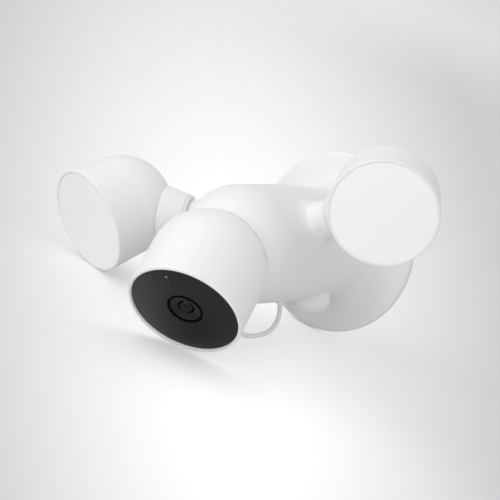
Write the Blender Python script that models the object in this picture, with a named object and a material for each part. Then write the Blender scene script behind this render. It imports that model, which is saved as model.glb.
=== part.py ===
"""Wall-mounted security camera with two floodlights.

Units are metres in the scene and millimetres in the constants below. The back of the
mounting plate lies on Y = 0 and faces the wall (+Y), the housing reaches out along -Y,
+Z is up and +X is to the right of somebody who stands behind the wall and looks out.
"""
import math

import bmesh
import bpy
from mathutils import Matrix, Vector

MM = 0.001
GAP = 0.3  # air between neighbouring pieces
WALL = 2.6  # moulded wall of the housing

# Housing: radius of the outside at each distance from the wall.
BASE_R = 65.8
NECK_R = 42.0
NECK_END = 132.3  # distance from the wall of the centre of the neck's round end
HOUSING_OUTER = ((BASE_R - 0.5, 0.4), (BASE_R, 0.9), (BASE_R, 3.6), (BASE_R - 0.6, 5.2),
                 (BASE_R - 2.4, 6.4), (57.0, 8.0), (50.0, 9.8), (44.8, 12.2), (41.0, 15.4),
                 (38.9, 19.5), (38.2, 25.0), (39.8, 46.0), (41.2, 64.0), (NECK_R, 84.0),
                 (NECK_R, 110.0), (NECK_R, NECK_END))
SKIRT_R = BASE_R - 3.8  # inside of the base skirt
HOUSING_INNER = ((SKIRT_R, -1.0), (SKIRT_R, 4.7), (55.0, 5.6), (48.0, 7.4), (42.5, 9.8),
                 (38.6, 13.2), (36.3, 18.0), (35.6, 25.0), (37.2, 46.0), (38.6, 64.0),
                 (NECK_R - WALL, 84.0), (NECK_R - WALL, NECK_END))

# Back parts.
BRACKET_R = 38.0
BRACKET_T = 2.0
BRACKET_HOLE = 9.0
BRACKET_HOLE_Z = -19.0  # the house wires come through here
PLATE_HOLE = 11.0
BRACKET_SCREW_AT = 30.0
GASKET_IN = 52.0
GASKET_T = 2.3
PLATE_AT = GASKET_T + GAP
PLATE_T = 1.8
PLATE_SCREW_AT = 46.0

# Camera: a round body with a domed back that sits in the neck's hollow end.
CAM_R = 41.6
CAM_Y = 174.0  # distance from the wall of the dome's centre
CAM_Z = -16.1
CAM_TILT = 44.3  # degrees that the camera looks down
CAM_FACE = 39.7  # from the dome's centre to the rim
CAM_WALL = 2.6
GLASS_R = CAM_R - 1.7
GLASS_T = 1.5
LENS_R = 13.1
MIC_AT = CAM_R - 19.6  # above the lens
STATUS_AT = CAM_R - 10.6
BOARD_AT = CAM_FACE - 24.5  # circuit board behind the lens
RING_BOARD_AT = CAM_FACE - 11.1
CUP_DEEP_ANGLE = 46.0  # the pad's recess in the cup
PAD_T = 1.2

# Lights.
LIGHT_X = 110.7
LIGHT_Y = 116.5
LIGHT_Z = 29.0
LIGHT_R = 36.85
LIGHT_RIM_R = LIGHT_R + 1.65
LIGHT_DEPTH = 29.2  # from the dome's centre to the rim
LIGHT_YAW = 25.5
LIGHT_PITCH = 20.7
LIGHT_WALL = 2.5
ARM_Y = 76.0  # where the arm's axis leaves the middle of the neck
ARM_Z = 6.4
STUB_R = 13.3
STUB_END = 68.6  # from the middle of the neck along the arm
RING_R = 16.2
RING_T = 1.8
COLLAR_R = 16.5
COLLAR_WIDE = 20.2
CUP_ANGLE = 31.0
TUBE_R = 6.2
STEM_R = 3.2
TILT_OUT = 4.0  # degrees that the light tilts away from its arm
TILT_IN = 22.0
SINK_TOP, SINK_ROOT, SINK_LOW = 8.1, 4.4, -6.0  # heat sink heights from the dome's centre

# Presence sensor under the neck.
PIR_Y = 44.0
PIR_R = 16.3
PIR_SEAM = 43.0
PIR_BOTTOM = 51.0

# Camera lead.
LEAD_R = 1.7
GLAND_Y = 81.0
GLAND_END = 43.0
PLUG_AT = 4.0  # along the camera's axis
PLUG_END = CAM_R + 10.4
BUTTON_AT = 20.0  # reset button, along the camera's axis
LEAD_SPLIT = 6  # the two halves of the lead meet at this point of the route
LEAD_ROUTE = ((GLAND_Y, GLAND_END + GAP), (81.4, 47.4), (82.8, 51.6), (85.8, 55.8), (90.6, 59.4),
              (97.2, 62.2), (106.0, 63.8), (115.0, 64.3), (123.5, 64.1), (131.0, 62.4),
              (136.6, 59.6))

BIG, MID, SMALL, TINY = 32, 24, 14, 10

WHITE = ("white_moulding", (0.86, 0.86, 0.86, 1.0), 0.0, 0.45)
BLACK = ("black_plastic", (0.02, 0.02, 0.022, 1.0), 0.0, 0.4)
GLASS = ("black_glass", (0.012, 0.012, 0.013, 1.0), 0.0, 0.12)
FROST = ("frosted_diffuser", (0.8, 0.8, 0.8, 1.0), 0.0, 0.5)
RUBBER = ("grey_rubber", (0.25, 0.25, 0.25, 1.0), 0.0, 0.8)
STEEL = ("zinc_steel", (0.55, 0.56, 0.58, 1.0), 1.0, 0.35)
ALU = ("aluminium", (0.7, 0.71, 0.72, 1.0), 1.0, 0.4)
BOARD = ("green_board", (0.02, 0.14, 0.06, 1.0), 0.0, 0.5)
WHITE_BOARD = ("white_board", (0.75, 0.75, 0.72, 1.0), 0.0, 0.5)
YELLOW = ("phosphor", (0.85, 0.65, 0.15, 1.0), 0.0, 0.5)
LENS = ("lens_glass", (0.03, 0.03, 0.05, 1.0), 0.0, 0.03)
COPPER = ("transformer_tape", (0.55, 0.35, 0.05, 1.0), 0.0, 0.6)
BLUE = ("battery_wrap", (0.05, 0.12, 0.3, 1.0), 0.0, 0.4)
LEADC = ("lead_jacket", (0.72, 0.72, 0.72, 1.0), 0.0, 0.5)


def clear_scene():
    for o in list(bpy.data.objects):
        bpy.data.objects.remove(o, do_unlink=True)


def material(name, spec):
    kind, colour, metallic, roughness = spec
    m = bpy.data.materials.new(f"{kind}_{name}")
    m.use_nodes = True
    b = m.node_tree.nodes["Principled BSDF"]
    b.inputs["Base Color"].default_value = colour
    b.inputs["Metallic"].default_value = metallic
    b.inputs["Roughness"].default_value = roughness
    m.diffuse_color = colour
    return m


def frame(origin, z_axis, x_axis=(1.0, 0.0, 0.0)):
    """A placement whose local Z is z_axis, with the origin in millimetres."""
    z = Vector(z_axis).normalized()
    x = Vector(x_axis)
    x = (x - z * x.dot(z)).normalized()
    y = z.cross(x)
    m = Matrix((x, y, z)).transposed().to_4x4()
    m.translation = Vector(origin) * MM
    return m


def arc(centre, radius, start, end, steps):
    """Points (r, h) on a circle about (0, centre); the angle is measured from -h."""
    out = []
    for k in range(steps + 1):
        a = math.radians(start + (end - start) * k / steps)
        r = radius * math.sin(a)
        out.append((0.0 if abs(r) < 1e-6 else r, centre - radius * math.cos(a)))
    return out


def revolve(bm, loop, segments):
    """Turns a closed (r, h) loop about Z; points on the axis become single vertices."""
    rings = []
    for r, h in loop:
        if r < 1e-6:
            rings.append([bm.verts.new((0.0, 0.0, h * MM))])
            continue
        ring = []
        for k in range(segments):
            a = 2.0 * math.pi * k / segments
            ring.append(bm.verts.new((r * MM * math.cos(a), r * MM * math.sin(a), h * MM)))
        rings.append(ring)
    for i, low in enumerate(rings):
        high = rings[(i + 1) % len(rings)]
        if len(low) == 1 and len(high) == 1:
            continue
        for k in range(segments):
            j = (k + 1) % segments
            corners = [low[k % len(low)], low[j % len(low)], high[j % len(high)], high[k % len(high)]]
            unique = list(dict.fromkeys(corners))
            bm.faces.new(unique)
    bmesh.ops.recalc_face_normals(bm, faces=bm.faces)


def finish(name, bm, place, spec):
    mesh = bpy.data.meshes.new(name)
    bm.to_mesh(mesh)
    bm.free()
    mesh.shade_smooth()
    mesh.set_sharp_from_angle(angle=math.radians(35.0))
    o = bpy.data.objects.new(name, mesh)
    bpy.context.scene.collection.objects.link(o)
    o.matrix_world = place
    if spec:
        mesh.materials.append(material(name, spec))
    return o


def turned(name, loop, place, spec, segments=MID):
    bm = bmesh.new()
    revolve(bm, loop, segments)
    return finish(name, bm, place, spec)


def disc_loop(radius, low, high, hole=0.0):
    if hole:
        return [(hole, low), (radius, low), (radius, high), (hole, high)]
    return [(0.0, low), (radius, low), (radius, high), (0.0, high)]


def turned_at(name, loop, x, y, base, spec, segments=TINY):
    """A turned solid at (x, y) in the base frame."""
    return turned(name, loop, base @ Matrix.Translation((x * MM, y * MM, 0.0)), spec, segments)


def add_box(bm, low, high):
    made = bmesh.ops.create_cube(bm, size=1.0)["verts"]
    for v in made:
        for k in range(3):
            v.co[k] = (low[k] if v.co[k] < 0 else high[k]) * MM


def boxes(name, corners, place, spec, edge=0.0):
    """Boxes given by their low and high corners, in one piece."""
    bm = bmesh.new()
    for low, high in corners:
        add_box(bm, low, high)
    if edge:
        bmesh.ops.bevel(bm, geom=list(bm.edges), offset=edge * MM, offset_type="OFFSET", segments=1,
                        profile=0.5, affect="EDGES", material=-1)
    return finish(name, bm, place, spec)


def combine(o, tool, operation):
    """Joins or cuts with a helper solid, then removes the helper."""
    mod = o.modifiers.new("solid", "BOOLEAN")
    mod.operation = operation
    mod.solver = "EXACT"
    mod.object = tool
    tool.hide_render = True
    tool.display_type = "WIRE"
    bpy.context.view_layer.update()
    graph = bpy.context.evaluated_depsgraph_get()
    mesh = bpy.data.meshes.new_from_object(o.evaluated_get(graph))
    o.modifiers.remove(mod)
    old = o.data
    o.data = mesh
    bpy.data.meshes.remove(old)
    bpy.data.objects.remove(tool, do_unlink=True)
    return o


def cut(o, tool):
    return combine(o, tool, "DIFFERENCE")


def join(o, tool):
    return combine(o, tool, "UNION")


def tidy(o):
    bm = bmesh.new()
    bm.from_mesh(o.data)
    bmesh.ops.remove_doubles(bm, verts=bm.verts, dist=0.000001)
    bmesh.ops.triangulate(bm, faces=[f for f in bm.faces if len(f.verts) > 4])
    bmesh.ops.recalc_face_normals(bm, faces=bm.faces)
    bm.to_mesh(o.data)
    bm.free()
    o.data.shade_smooth()
    o.data.set_sharp_from_angle(angle=math.radians(35.0))


WALLWARD = frame((0, 0, 0), (0, -1, 0))  # local Z runs out from the wall, local Y is up


def drill(o, place, radius, low, high, segments=TINY):
    """Bores a hole; the tool is turned a little so that its corners miss the piece's edges."""
    at = place @ Matrix.Rotation(math.radians(7.0), 4, "Z")
    return cut(o, turned("drill", disc_loop(radius, low, high), at, None, segments))


def arm_axis(side):
    start = Vector((0.0, -ARM_Y, ARM_Z))
    end = Vector((side * LIGHT_X, -LIGHT_Y, LIGHT_Z))
    return start, end, (end - start).normalized(), (end - start).length


def light_normal(side):
    yaw, pitch = math.radians(LIGHT_YAW), math.radians(LIGHT_PITCH)
    return Vector((side * math.sin(yaw) * math.cos(pitch), -math.cos(yaw) * math.cos(pitch),
                   -math.sin(pitch)))


def camera_frame():
    tilt = math.radians(CAM_TILT)
    return frame((0, -CAM_Y, CAM_Z), (0, -math.cos(tilt), -math.sin(tilt)))


def seat_frame():
    """Local Z runs from the dome's centre into the neck, along the cup's axis."""
    dome, neck = Vector((0, -CAM_Y, CAM_Z)), Vector((0, -NECK_END, 0))
    return frame(dome, neck - dome)


def arm_solid(side, loop, segments=MID):
    start, _, along, _ = arm_axis(side)
    return turned("arm", loop, frame(start, along, (0, 0, 1)), None, segments)


def cup_tool(extra):
    """The space that the camera's dome and its pad need in the neck's end."""
    lip, deep = CAM_R + GAP + 0.05 + extra, CAM_R + 2 * GAP + PAD_T + extra
    pad = [(r, -h) for r, h in arc(0.0, deep, 0.0, CUP_DEEP_ANGLE, 4)]
    rest = [(r, -h) for r, h in arc(0.0, lip, CUP_DEEP_ANGLE, 180.0, 15)]
    return turned("cup", pad + rest, seat_frame(), None, BIG)


def round_end(radius, steps):
    return [(r, h) for r, h in arc(NECK_END, radius, 90.0, 180.0, steps)][1:]


def build_housing():
    outer = [(0.0, HOUSING_OUTER[0][1])] + list(HOUSING_OUTER) + round_end(NECK_R, 6)
    o = turned("main_housing", outer, WALLWARD, WHITE, BIG)
    flare = [(0.0, 25.0), (24.0, 25.0), (24.0, 34.0), (20.4, 39.0), (17.2, 44.5), (15.0, 51.0),
             (13.8, 58.5), (STUB_R, STUB_END - 0.4), (STUB_R - 0.4, STUB_END), (0.0, STUB_END)]
    for side in (-1, 1):
        join(o, arm_solid(side, flare))
    cut(o, cup_tool(0.0))
    room = [(0.0, -1.0)] + list(HOUSING_INNER) + round_end(NECK_R - WALL, 4)
    inside = turned("room", room, WALLWARD, None, BIG)
    cut(inside, cup_tool(WALL))
    for k in range(3):
        a = math.radians(90.0 + 120.0 * k)
        at = frame((PLATE_SCREW_AT * math.cos(a), 0, PLATE_SCREW_AT * math.sin(a)), (0, -1, 0))
        cut(inside, turned("boss", disc_loop(3.6, 4.7, 12.0), at, None, TINY))
    cut(o, inside)
    for side in (-1, 1):
        cut(o, arm_solid(side, disc_loop(10.4, 28.0, STUB_END - 3.1)))
        cut(o, arm_solid(side, disc_loop(TUBE_R + 0.4, 40.0, STUB_END + 2.0), SMALL))
    drill(o, frame((0, -PIR_Y, 0), (0, 0, -1)), PIR_R + GAP, 28.0, 44.0, MID)
    drill(o, frame((0, -GLAND_Y, 0), (0, 0, -1)), LEAD_R + 1.2 + GAP, 36.0, 44.0)
    for k in range(3):
        a = math.radians(90.0 + 120.0 * k)
        at = frame((PLATE_SCREW_AT * math.cos(a), 0, PLATE_SCREW_AT * math.sin(a)), (0, -1, 0))
        drill(o, at, 1.8, 3.0, 8.2)
    tidy(o)


def build_back():
    o = turned("mounting_bracket", disc_loop(BRACKET_R, 0.0, BRACKET_T), WALLWARD, STEEL)
    drill(o, frame((0, 0, BRACKET_HOLE_Z), (0, -1, 0)), BRACKET_HOLE, -1.0, 4.0, SMALL)
    for x in (-BRACKET_SCREW_AT, BRACKET_SCREW_AT):
        drill(o, frame((x, 0, 0), (0, -1, 0)), 2.4, -1.0, 4.0)
    tidy(o)
    turned("wall_gasket", disc_loop(SKIRT_R - 0.8, 0.0, GASKET_T, GASKET_IN), WALLWARD, RUBBER)
    top = PLATE_AT + PLATE_T
    plate = turned("rear_plate", disc_loop(SKIRT_R - 0.5, PLATE_AT, top, PLATE_HOLE), WALLWARD, WHITE)
    spots = []
    for k in range(3):
        a = math.radians(90.0 + 120.0 * k)
        spots.append((PLATE_SCREW_AT * math.cos(a), PLATE_SCREW_AT * math.sin(a)))
    for x, y in spots:
        drill(plate, frame((x, 0, y), (0, -1, 0)), 1.8, 1.0, 6.0)
    tidy(plate)
    screw = [(0.0, 0.9), (2.8, 0.9), (2.8, PLATE_AT - GAP), (1.4, PLATE_AT - GAP), (1.4, 7.9), (0.0, 7.9)]
    for k, (x, y) in enumerate(spots):
        turned_at(f"rear_plate_screw_{k + 1}", screw, x, y, WALLWARD, STEEL)


def build_power():
    level = Matrix.Identity(4)
    boxes("power_board", [((-24, -72, -15.6), (24, -16, -14))], level, BOARD)
    boxes("terminal_block", [((-15, -29, -13.7), (15, -17, -3))], level, BLACK, 0.6)
    boxes("transformer", [((-21, -55, -13.7), (-1, -33, 5))], level, COPPER, 1.2)
    turned_at("capacitor", disc_loop(6.0, -13.7, 8.0), 12.0, -44.0, level, BLACK, SMALL)
    boxes("led_driver", [((-18, -70, -13.7), (-4, -60, -11))], level, BLACK, 0.4)


def build_pir():
    down = frame((0, -PIR_Y, 0), (0, 0, -1))
    seam = PIR_SEAM - GAP / 2
    turned("pir_bezel", disc_loop(PIR_R, 33.6, seam, 14.2), down, WHITE)
    low, edge = PIR_SEAM + GAP / 2, 6.0
    flat = PIR_BOTTOM
    outer = [(PIR_R, low), (PIR_R, flat - edge)]
    for k in range(1, 6):
        a = math.radians(90.0 * k / 5)
        outer.append((PIR_R - edge + edge * math.cos(a), flat - edge + edge * math.sin(a)))
    inner = [(0.0, flat - 1.8), (PIR_R - edge, flat - 1.8), (PIR_R - 3.2, flat - 3.6), (14.2, flat - edge)]
    turned("pir_lens", outer + [(0.0, flat)] + inner + [(14.2, low)], down, WHITE)
    turned("pir_board", disc_loop(13.2, 29.6, 31.0), down, BOARD, SMALL)
    turned("pir_sensor", [(0, 31.3), (4.6, 31.3), (4.6, 32.0), (4.1, 32.3), (4.1, 36.0), (0, 36.0)], down,
           STEEL, SMALL)


def build_arm(side, label):
    start, end, along, reach = arm_axis(side)
    out = frame(end, -along, (0, 0, 1))  # heights run from the light's centre to the neck
    ring_low = reach - STUB_END - GAP
    ring = disc_loop(RING_R, ring_low - RING_T, ring_low, TUBE_R + 0.4)
    turned(f"{label}_swivel_ring", ring, out, RUBBER)
    back = ring_low - RING_T - GAP
    cup = [(r, -h) for r, h in arc(0.0, LIGHT_R + GAP, CUP_ANGLE, 8.0, 4)]
    web = cup[-1][1] + 2.4
    tube_end = back + 9.2
    loop = cup + [(cup[-1][0], web), (14.0, web - 2.2), (13.6, back - 2.6), (4.6, back - 2.6),
                  (4.6, tube_end), (TUBE_R, tube_end), (TUBE_R, back), (COLLAR_R - 0.5, back),
                  (COLLAR_R, back - 0.5), (COLLAR_WIDE, cup[0][1] + 1.4), (COLLAR_WIDE - 0.2, cup[0][1] + 0.5)]
    turned(f"{label}_collar", loop, out, WHITE)
    nut_low = reach - STUB_END + 3.1 + GAP
    turned(f"{label}_swivel_nut", disc_loop(9.6, nut_low, nut_low + 2.9, TUBE_R + GAP), out, BLACK, 12)
    inside = LIGHT_R - LIGHT_WALL - 2 * GAP
    hat = [(r, -h) for r, h in arc(0.0, inside, 7.5, 13.0, 2)]
    under = [(r, -h) for r, h in arc(0.0, inside - 2.4, 13.0, 0.0, 3)]
    stem_end = web + 1.2
    stem = [(0.0, stem_end), (STEM_R, stem_end), (STEM_R, hat[0][1])] + hat + under
    turned(f"{label}_clamp_stem", stem, out, STEEL, SMALL)


def slot_tool(side, place):
    """The slot in the light's dome that the clamp stem moves along."""
    _, _, along, _ = arm_axis(side)
    pole = -light_normal(side)
    toward = -along
    rest = math.degrees(pole.angle(toward))
    half = math.degrees(math.asin((STEM_R + 0.5) / LIGHT_R))
    sideways = (toward - pole * toward.dot(pole)).normalized()
    plane = frame(Vector(place.translation) / MM, pole.cross(sideways), pole)
    bm = bmesh.new()
    rings = []
    steps = 8
    low, high = LIGHT_R - 7.0, LIGHT_R + 7.0
    for k in range(steps + 1):
        a = math.radians(rest - TILT_IN - half + (TILT_IN + TILT_OUT + 2 * half) * k / steps)
        ring = []
        for radius, z in ((low, -1), (high, -1), (high, 1), (low, 1)):
            ring.append(bm.verts.new((radius * MM * math.cos(a), radius * MM * math.sin(a),
                                      z * (STEM_R + 0.5) * MM)))
        rings.append(ring)
    for a, b in zip(rings, rings[1:]):
        for k in range(4):
            bm.faces.new((a[k], a[(k + 1) % 4], b[(k + 1) % 4], b[k]))
    bm.faces.new(rings[0])
    bm.faces.new(rings[-1])
    bmesh.ops.recalc_face_normals(bm, faces=bm.faces)
    return finish("slot", bm, plane, None)


def build_light(side, label):
    _, end, _, _ = arm_axis(side)
    place = frame(end, light_normal(side), (0, 0, 1))
    rim, depth, wall = LIGHT_RIM_R, LIGHT_DEPTH, LIGHT_WALL
    outer = arc(0.0, LIGHT_R, 0.0, 90.0, 8)
    lip = [(rim, depth - 0.8), (rim - 0.3, depth - 0.1), (rim - 1.0, depth + 0.1), (rim - 1.9, depth - 0.3)]
    rebate = [(rim - 1.9, depth - 2.8), (LIGHT_R - wall, depth - 2.8)]
    inner = [(r, h) for r, h in arc(0.0, LIGHT_R - wall, 90.0, 0.0, 8)]
    shell = turned(f"{label}_light_shell", outer + lip + rebate + inner, place, WHITE, MID + 2)
    cut(shell, slot_tool(side, place))
    tidy(shell)
    front = depth - 0.5
    turned(f"{label}_diffuser", [(0, front - 2.0), (rim - 2.2, front - 2.0), (rim - 2.2, front - 0.2),
                                 (rim - 2.5, front), (0, front)], place, FROST, MID + 2)
    funnel = [(24.0, 11.4), (25.0, 11.4), (33.9, depth - 4.3), (32.8, depth - 4.3)]
    turned(f"{label}_reflector", funnel, place, WHITE)
    turned(f"{label}_led_board", disc_loop(30.0, 8.4, 10.0), place, WHITE_BOARD)
    spots = []
    for radius, count in ((7.0, 4), (17.0, 8)):
        for k in range(count):
            a = 2 * math.pi * k / count
            spots.append((radius * math.cos(a), radius * math.sin(a)))
    chips = [((x - 1.5, y - 1.5, 10.6), (x + 1.5, y + 1.5, 11.6)) for x, y in spots]
    carrier = turned(f"{label}_led_array", disc_loop(21.0, 10.3, 11.0), place, YELLOW, SMALL)
    join(carrier, boxes("chips", chips, place, None))
    tidy(carrier)
    fins = [(0.0, SINK_TOP)]
    for k in range(4):
        r = 27.0 - 7.0 * k
        fins += [(r, SINK_TOP if k == 0 else SINK_ROOT), (r, SINK_LOW), (r - 2.4, SINK_LOW), (r - 2.4, SINK_ROOT)]
    fins.append((0.0, SINK_ROOT))
    turned(f"{label}_heat_sink", fins, place, ALU)


def build_seat():
    place = seat_frame()
    low, high = CAM_R + GAP, CAM_R + GAP + PAD_T
    inner = [(r, -h) for r, h in arc(0.0, low, 16.0, CUP_DEEP_ANGLE - 1.0, 4)]
    outer = [(r, -h) for r, h in arc(0.0, high, CUP_DEEP_ANGLE - 1.0, 16.0, 4)]
    turned("seat_pad", inner + outer, place, RUBBER)
    magnet = high + GAP + WALL + GAP
    turned("seat_magnet", disc_loop(13.0, magnet, magnet + 6.0, 4.0), place, STEEL, SMALL)


def side_frame(place, along):
    """Local Z points out through the camera's underside at a height along its axis."""
    turn = Matrix.Translation((0, 0, along * MM)) @ Matrix.Rotation(math.radians(90.0), 4, "X")
    return place @ turn


def build_camera():
    place = camera_frame()
    inner = CAM_R - CAM_WALL
    face = CAM_FACE
    outer = arc(0.0, CAM_R, 0.0, 90.0, 7)
    lip = [(CAM_R, face - 0.7), (CAM_R - 0.4, face + 0.1), (CAM_R - 0.9, face + 0.3),
           (GLASS_R + GAP, face)]
    back = face - GLASS_T - 0.9
    rebate = [(GLASS_R + GAP, back), (inner, back)]
    loop = outer + lip + rebate + [(r, h) for r, h in arc(0.0, inner, 90.0, 0.0, 5)]
    shell = turned("camera_shell", loop, place, WHITE, BIG)
    drill(shell, side_frame(place, PLUG_AT), 3.6, inner - 9.0, CAM_R + 8.0, SMALL)
    drill(shell, side_frame(place, BUTTON_AT), 3.3, inner - 9.0, CAM_R + 8.0, SMALL)
    tidy(shell)
    top = face - 0.5
    glass = turned("face_glass", [(LENS_R + GAP, top - GLASS_T), (GLASS_R, top - GLASS_T),
                                  (GLASS_R, top - 0.3), (GLASS_R - 0.3, top), (LENS_R + GAP, top)],
                   place, GLASS, BIG)
    for y, r in ((MIC_AT, 0.6), (STATUS_AT, 1.3)):
        drill(glass, place @ Matrix.Translation((0, y * MM, 0)), r, top - 9.0, top + 5.0)
    tidy(glass)
    turned("lens_bezel", [(LENS_R - 1.5, top - 2.8), (LENS_R, top - 2.8), (LENS_R, top + 0.2),
                          (LENS_R - 0.4, top + 0.5), (LENS_R - 1.1, top + 0.5), (LENS_R - 1.5, top + 0.1)],
           place, BLACK)
    barrel = LENS_R - 1.8
    seat = top - 4.6
    turned("lens_barrel", [(0, BOARD_AT + 4.8), (9.0, BOARD_AT + 4.8), (9.0, seat - 0.6), (barrel, seat - 0.1),
                           (barrel, top - 0.6), (barrel - 0.6, top - 0.4), (6.2, top - 2.2), (6.2, seat),
                           (0, seat)], place, BLACK)
    turned("lens_element", [(0, seat + 0.3), (5.9, seat + 0.3), (5.9, seat + 1.6), (4.4, seat + 2.6),
                            (2.3, seat + 3.2), (0, seat + 3.4)], place, LENS, SMALL)
    build_camera_boards(place, top)
    build_camera_dome(place, inner)


def build_camera_boards(place, top):
    board = BOARD_AT + 1.4
    turned("main_board", disc_loop(CAM_R - 7.4, BOARD_AT, board), place, BOARD)
    boxes("image_sensor", [((-6, -5, board + GAP), (6, 5, board + 1.7))], place, BLACK)
    far = CAM_R - 19.6
    boxes("wireless_module", [((-far - 4, 8, board + GAP), (-far + 8, 20, board + 2.4))], place, ALU, 0.3)
    ring = RING_BOARD_AT + 1.4
    turned("led_ring_board", disc_loop(CAM_R - 4.2, RING_BOARD_AT, ring, 15.0), place, BOARD)
    low = ring + GAP
    dome = [(0, low), (2.5, low), (2.5, low + 3.1), (1.4, low + 4.3), (0, low + 4.6)]
    for k, side in enumerate((-1, 1)):
        turned_at(f"infrared_led_{k + 1}", dome, side * (CAM_R - 16.6), 0, place, LENS)
    turned_at("status_light", disc_loop(1.0, low, top - 0.1), 0, STATUS_AT, place, FROST)
    turned_at("microphone", disc_loop(2.2, low, low + 2.7), 0, MIC_AT, place, ALU)


def build_camera_dome(place, inner):
    turned_at("speaker", [(0, -1.0), (7.0, -1.0), (9.0, 1.0), (9.0, 8.0), (0, 8.0)], 0, 22.1 - CAM_R, place,
              BLACK, SMALL)
    half = CAM_R / 2
    low = 31.6 - CAM_R + GAP  # clear of the speaker
    boxes("battery_pack", [((-half, low, -0.34 * CAM_R), (half, half + 2, 9))], place, BLUE, 2.0)
    cap_in = arc(0.0, inner - 3.2, 28.0, 0.0, 3)
    cap_out = arc(0.0, inner - 1.0, 0.0, 28.0, 3)
    turned("dome_plate", cap_out + cap_in, place, STEEL)
    port = side_frame(place, PLUG_AT)
    turned("camera_port", disc_loop(4.8, CAM_R - 10.6, CAM_R - 4.4), port, BLACK, SMALL)
    plug = [(0, CAM_R - 4.1), (3.2, CAM_R - 4.1), (3.2, CAM_R + 0.5), (4.6, CAM_R + 0.5), (4.6, CAM_R + 3.2),
            (3.9, CAM_R + 4.0), (LEAD_R + 0.7, PLUG_END), (0, PLUG_END)]
    turned("lead_plug", plug, port, WHITE, SMALL)
    button = side_frame(place, BUTTON_AT)
    turned("reset_button", [(0, CAM_R - 5.6), (4.2, CAM_R - 5.6), (4.2, CAM_R - 4.4), (2.9, CAM_R - 4.4),
                            (2.9, CAM_R - 0.6), (2.5, CAM_R - 0.3), (0, CAM_R - 0.3)], button, WHITE, SMALL)


def lead_points():
    cam = camera_frame()
    tip = side_frame(cam, PLUG_AT) @ Vector((0, 0, (PLUG_END + GAP) * MM))
    pts = [Vector((0, -a * MM, -c * MM)) for a, c in LEAD_ROUTE]
    pts.append(tip)
    return pts


def smooth_route(pts, per=3):
    out = []
    n = len(pts)
    for i in range(n - 1):
        p0, p1, p2, p3 = pts[max(i - 1, 0)], pts[i], pts[i + 1], pts[min(i + 2, n - 1)]
        for k in range(per):
            t = k / per
            out.append(0.5 * ((2 * p1) + (p2 - p0) * t + (2 * p0 - 5 * p1 + 4 * p2 - p3) * t * t
                              + (3 * p1 - p0 - 3 * p2 + p3) * t * t * t))
    out.append(pts[-1])
    return out


def tube(name, pts, spec):
    """A round lead along points, its origin on its first point."""
    origin = pts[0]
    curve = bpy.data.curves.new(name, "CURVE")
    curve.dimensions = "3D"
    curve.bevel_depth = LEAD_R * MM
    curve.bevel_resolution = 2
    curve.use_fill_caps = True
    spline = curve.splines.new("POLY")
    spline.points.add(len(pts) - 1)
    for p, q in zip(spline.points, pts):
        p.co = (*(q - origin), 1.0)
    o = bpy.data.objects.new(name, curve)
    bpy.context.scene.collection.objects.link(o)
    o.location = origin
    curve.materials.append(material(name, spec))
    return o


def build_lead():
    down = frame((0, -GLAND_Y, 0), (0, 0, -1))
    ring = LEAD_R + 1.2
    turned("lead_gland", [(0, 37.5), (ring, 37.5), (ring, GLAND_END - 0.4), (ring - 0.4, GLAND_END),
                          (0, GLAND_END)], down, WHITE, SMALL)
    pts = lead_points()
    fine = smooth_route(pts, 2)
    at = LEAD_SPLIT * 2
    first, second = fine[:at + 1], fine[at:]
    step = (second[1] - second[0]).normalized() * GAP * MM
    second[0] = second[0] + step
    tube("lead_neck_half", first, LEADC)
    tube("lead_camera_half", second, LEADC)


def main():
    clear_scene()
    build_back()
    build_housing()
    build_power()
    build_pir()
    for side, label in ((-1, "left"), (1, "right")):
        build_arm(side, label)
        build_light(side, label)
    build_seat()
    build_camera()
    build_lead()


main()
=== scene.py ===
"""Looks of a wall-mounted security camera with two floodlights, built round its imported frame."""
import bisect
import math

import bmesh
import bpy
from mathutils import Matrix, Vector


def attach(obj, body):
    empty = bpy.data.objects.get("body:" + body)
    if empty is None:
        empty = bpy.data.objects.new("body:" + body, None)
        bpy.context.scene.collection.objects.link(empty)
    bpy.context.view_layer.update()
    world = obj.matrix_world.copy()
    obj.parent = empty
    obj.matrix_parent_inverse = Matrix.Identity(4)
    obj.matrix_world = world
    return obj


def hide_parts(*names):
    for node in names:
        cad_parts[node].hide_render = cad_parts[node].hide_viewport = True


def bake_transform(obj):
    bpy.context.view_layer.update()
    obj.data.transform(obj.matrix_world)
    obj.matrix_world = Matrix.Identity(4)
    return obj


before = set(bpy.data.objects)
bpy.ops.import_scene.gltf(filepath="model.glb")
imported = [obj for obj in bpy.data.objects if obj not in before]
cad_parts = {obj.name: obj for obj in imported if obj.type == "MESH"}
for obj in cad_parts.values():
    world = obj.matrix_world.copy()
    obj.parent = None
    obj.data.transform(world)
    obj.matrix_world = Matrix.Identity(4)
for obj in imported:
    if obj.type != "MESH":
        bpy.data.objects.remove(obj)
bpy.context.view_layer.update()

MM = 0.001

# Sizes in millimetres, as in the part.
CAM_TILT = 44.3
DOME = Vector((0.0, -174.0, -16.1))  # middle of the camera's domed back
CAM_R = 41.6
CAM_FACE = 39.7
PANE_R = 39.3  # what shows of the black pane inside the rim
LENS_R = 13.1
LENS_AT = (0.0, -0.2, -0.04)  # the lens, in metres
NECK_R = 42.0
NECK_END = 132.3
BASE_R = 65.8
LIGHT_R = 36.83  # a hair under the solid's, whose facets lie inside a true sphere
LIGHT_RIM_R = 38.41
LIGHT_DEPTH = 29.2
TILT_IN = 22.0  # degrees that a light tilts towards its arm
TILT_OUT = 4.0
SLOT_HALF = 3.7  # half the width of the slot that the clamp stem moves in
STUB_R = 13.3
STUB_END = 68.6
ARM_START = Vector((0.0, -76.0, 6.4))
PIR_Y = 44.0
PIR_R = 16.3
GLAND_Y = 81.0
PLUG_AT = 4.0
BUTTON_AT = 20.0
LEAD_R = 1.7
LEAD_SPLIT = 6
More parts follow.
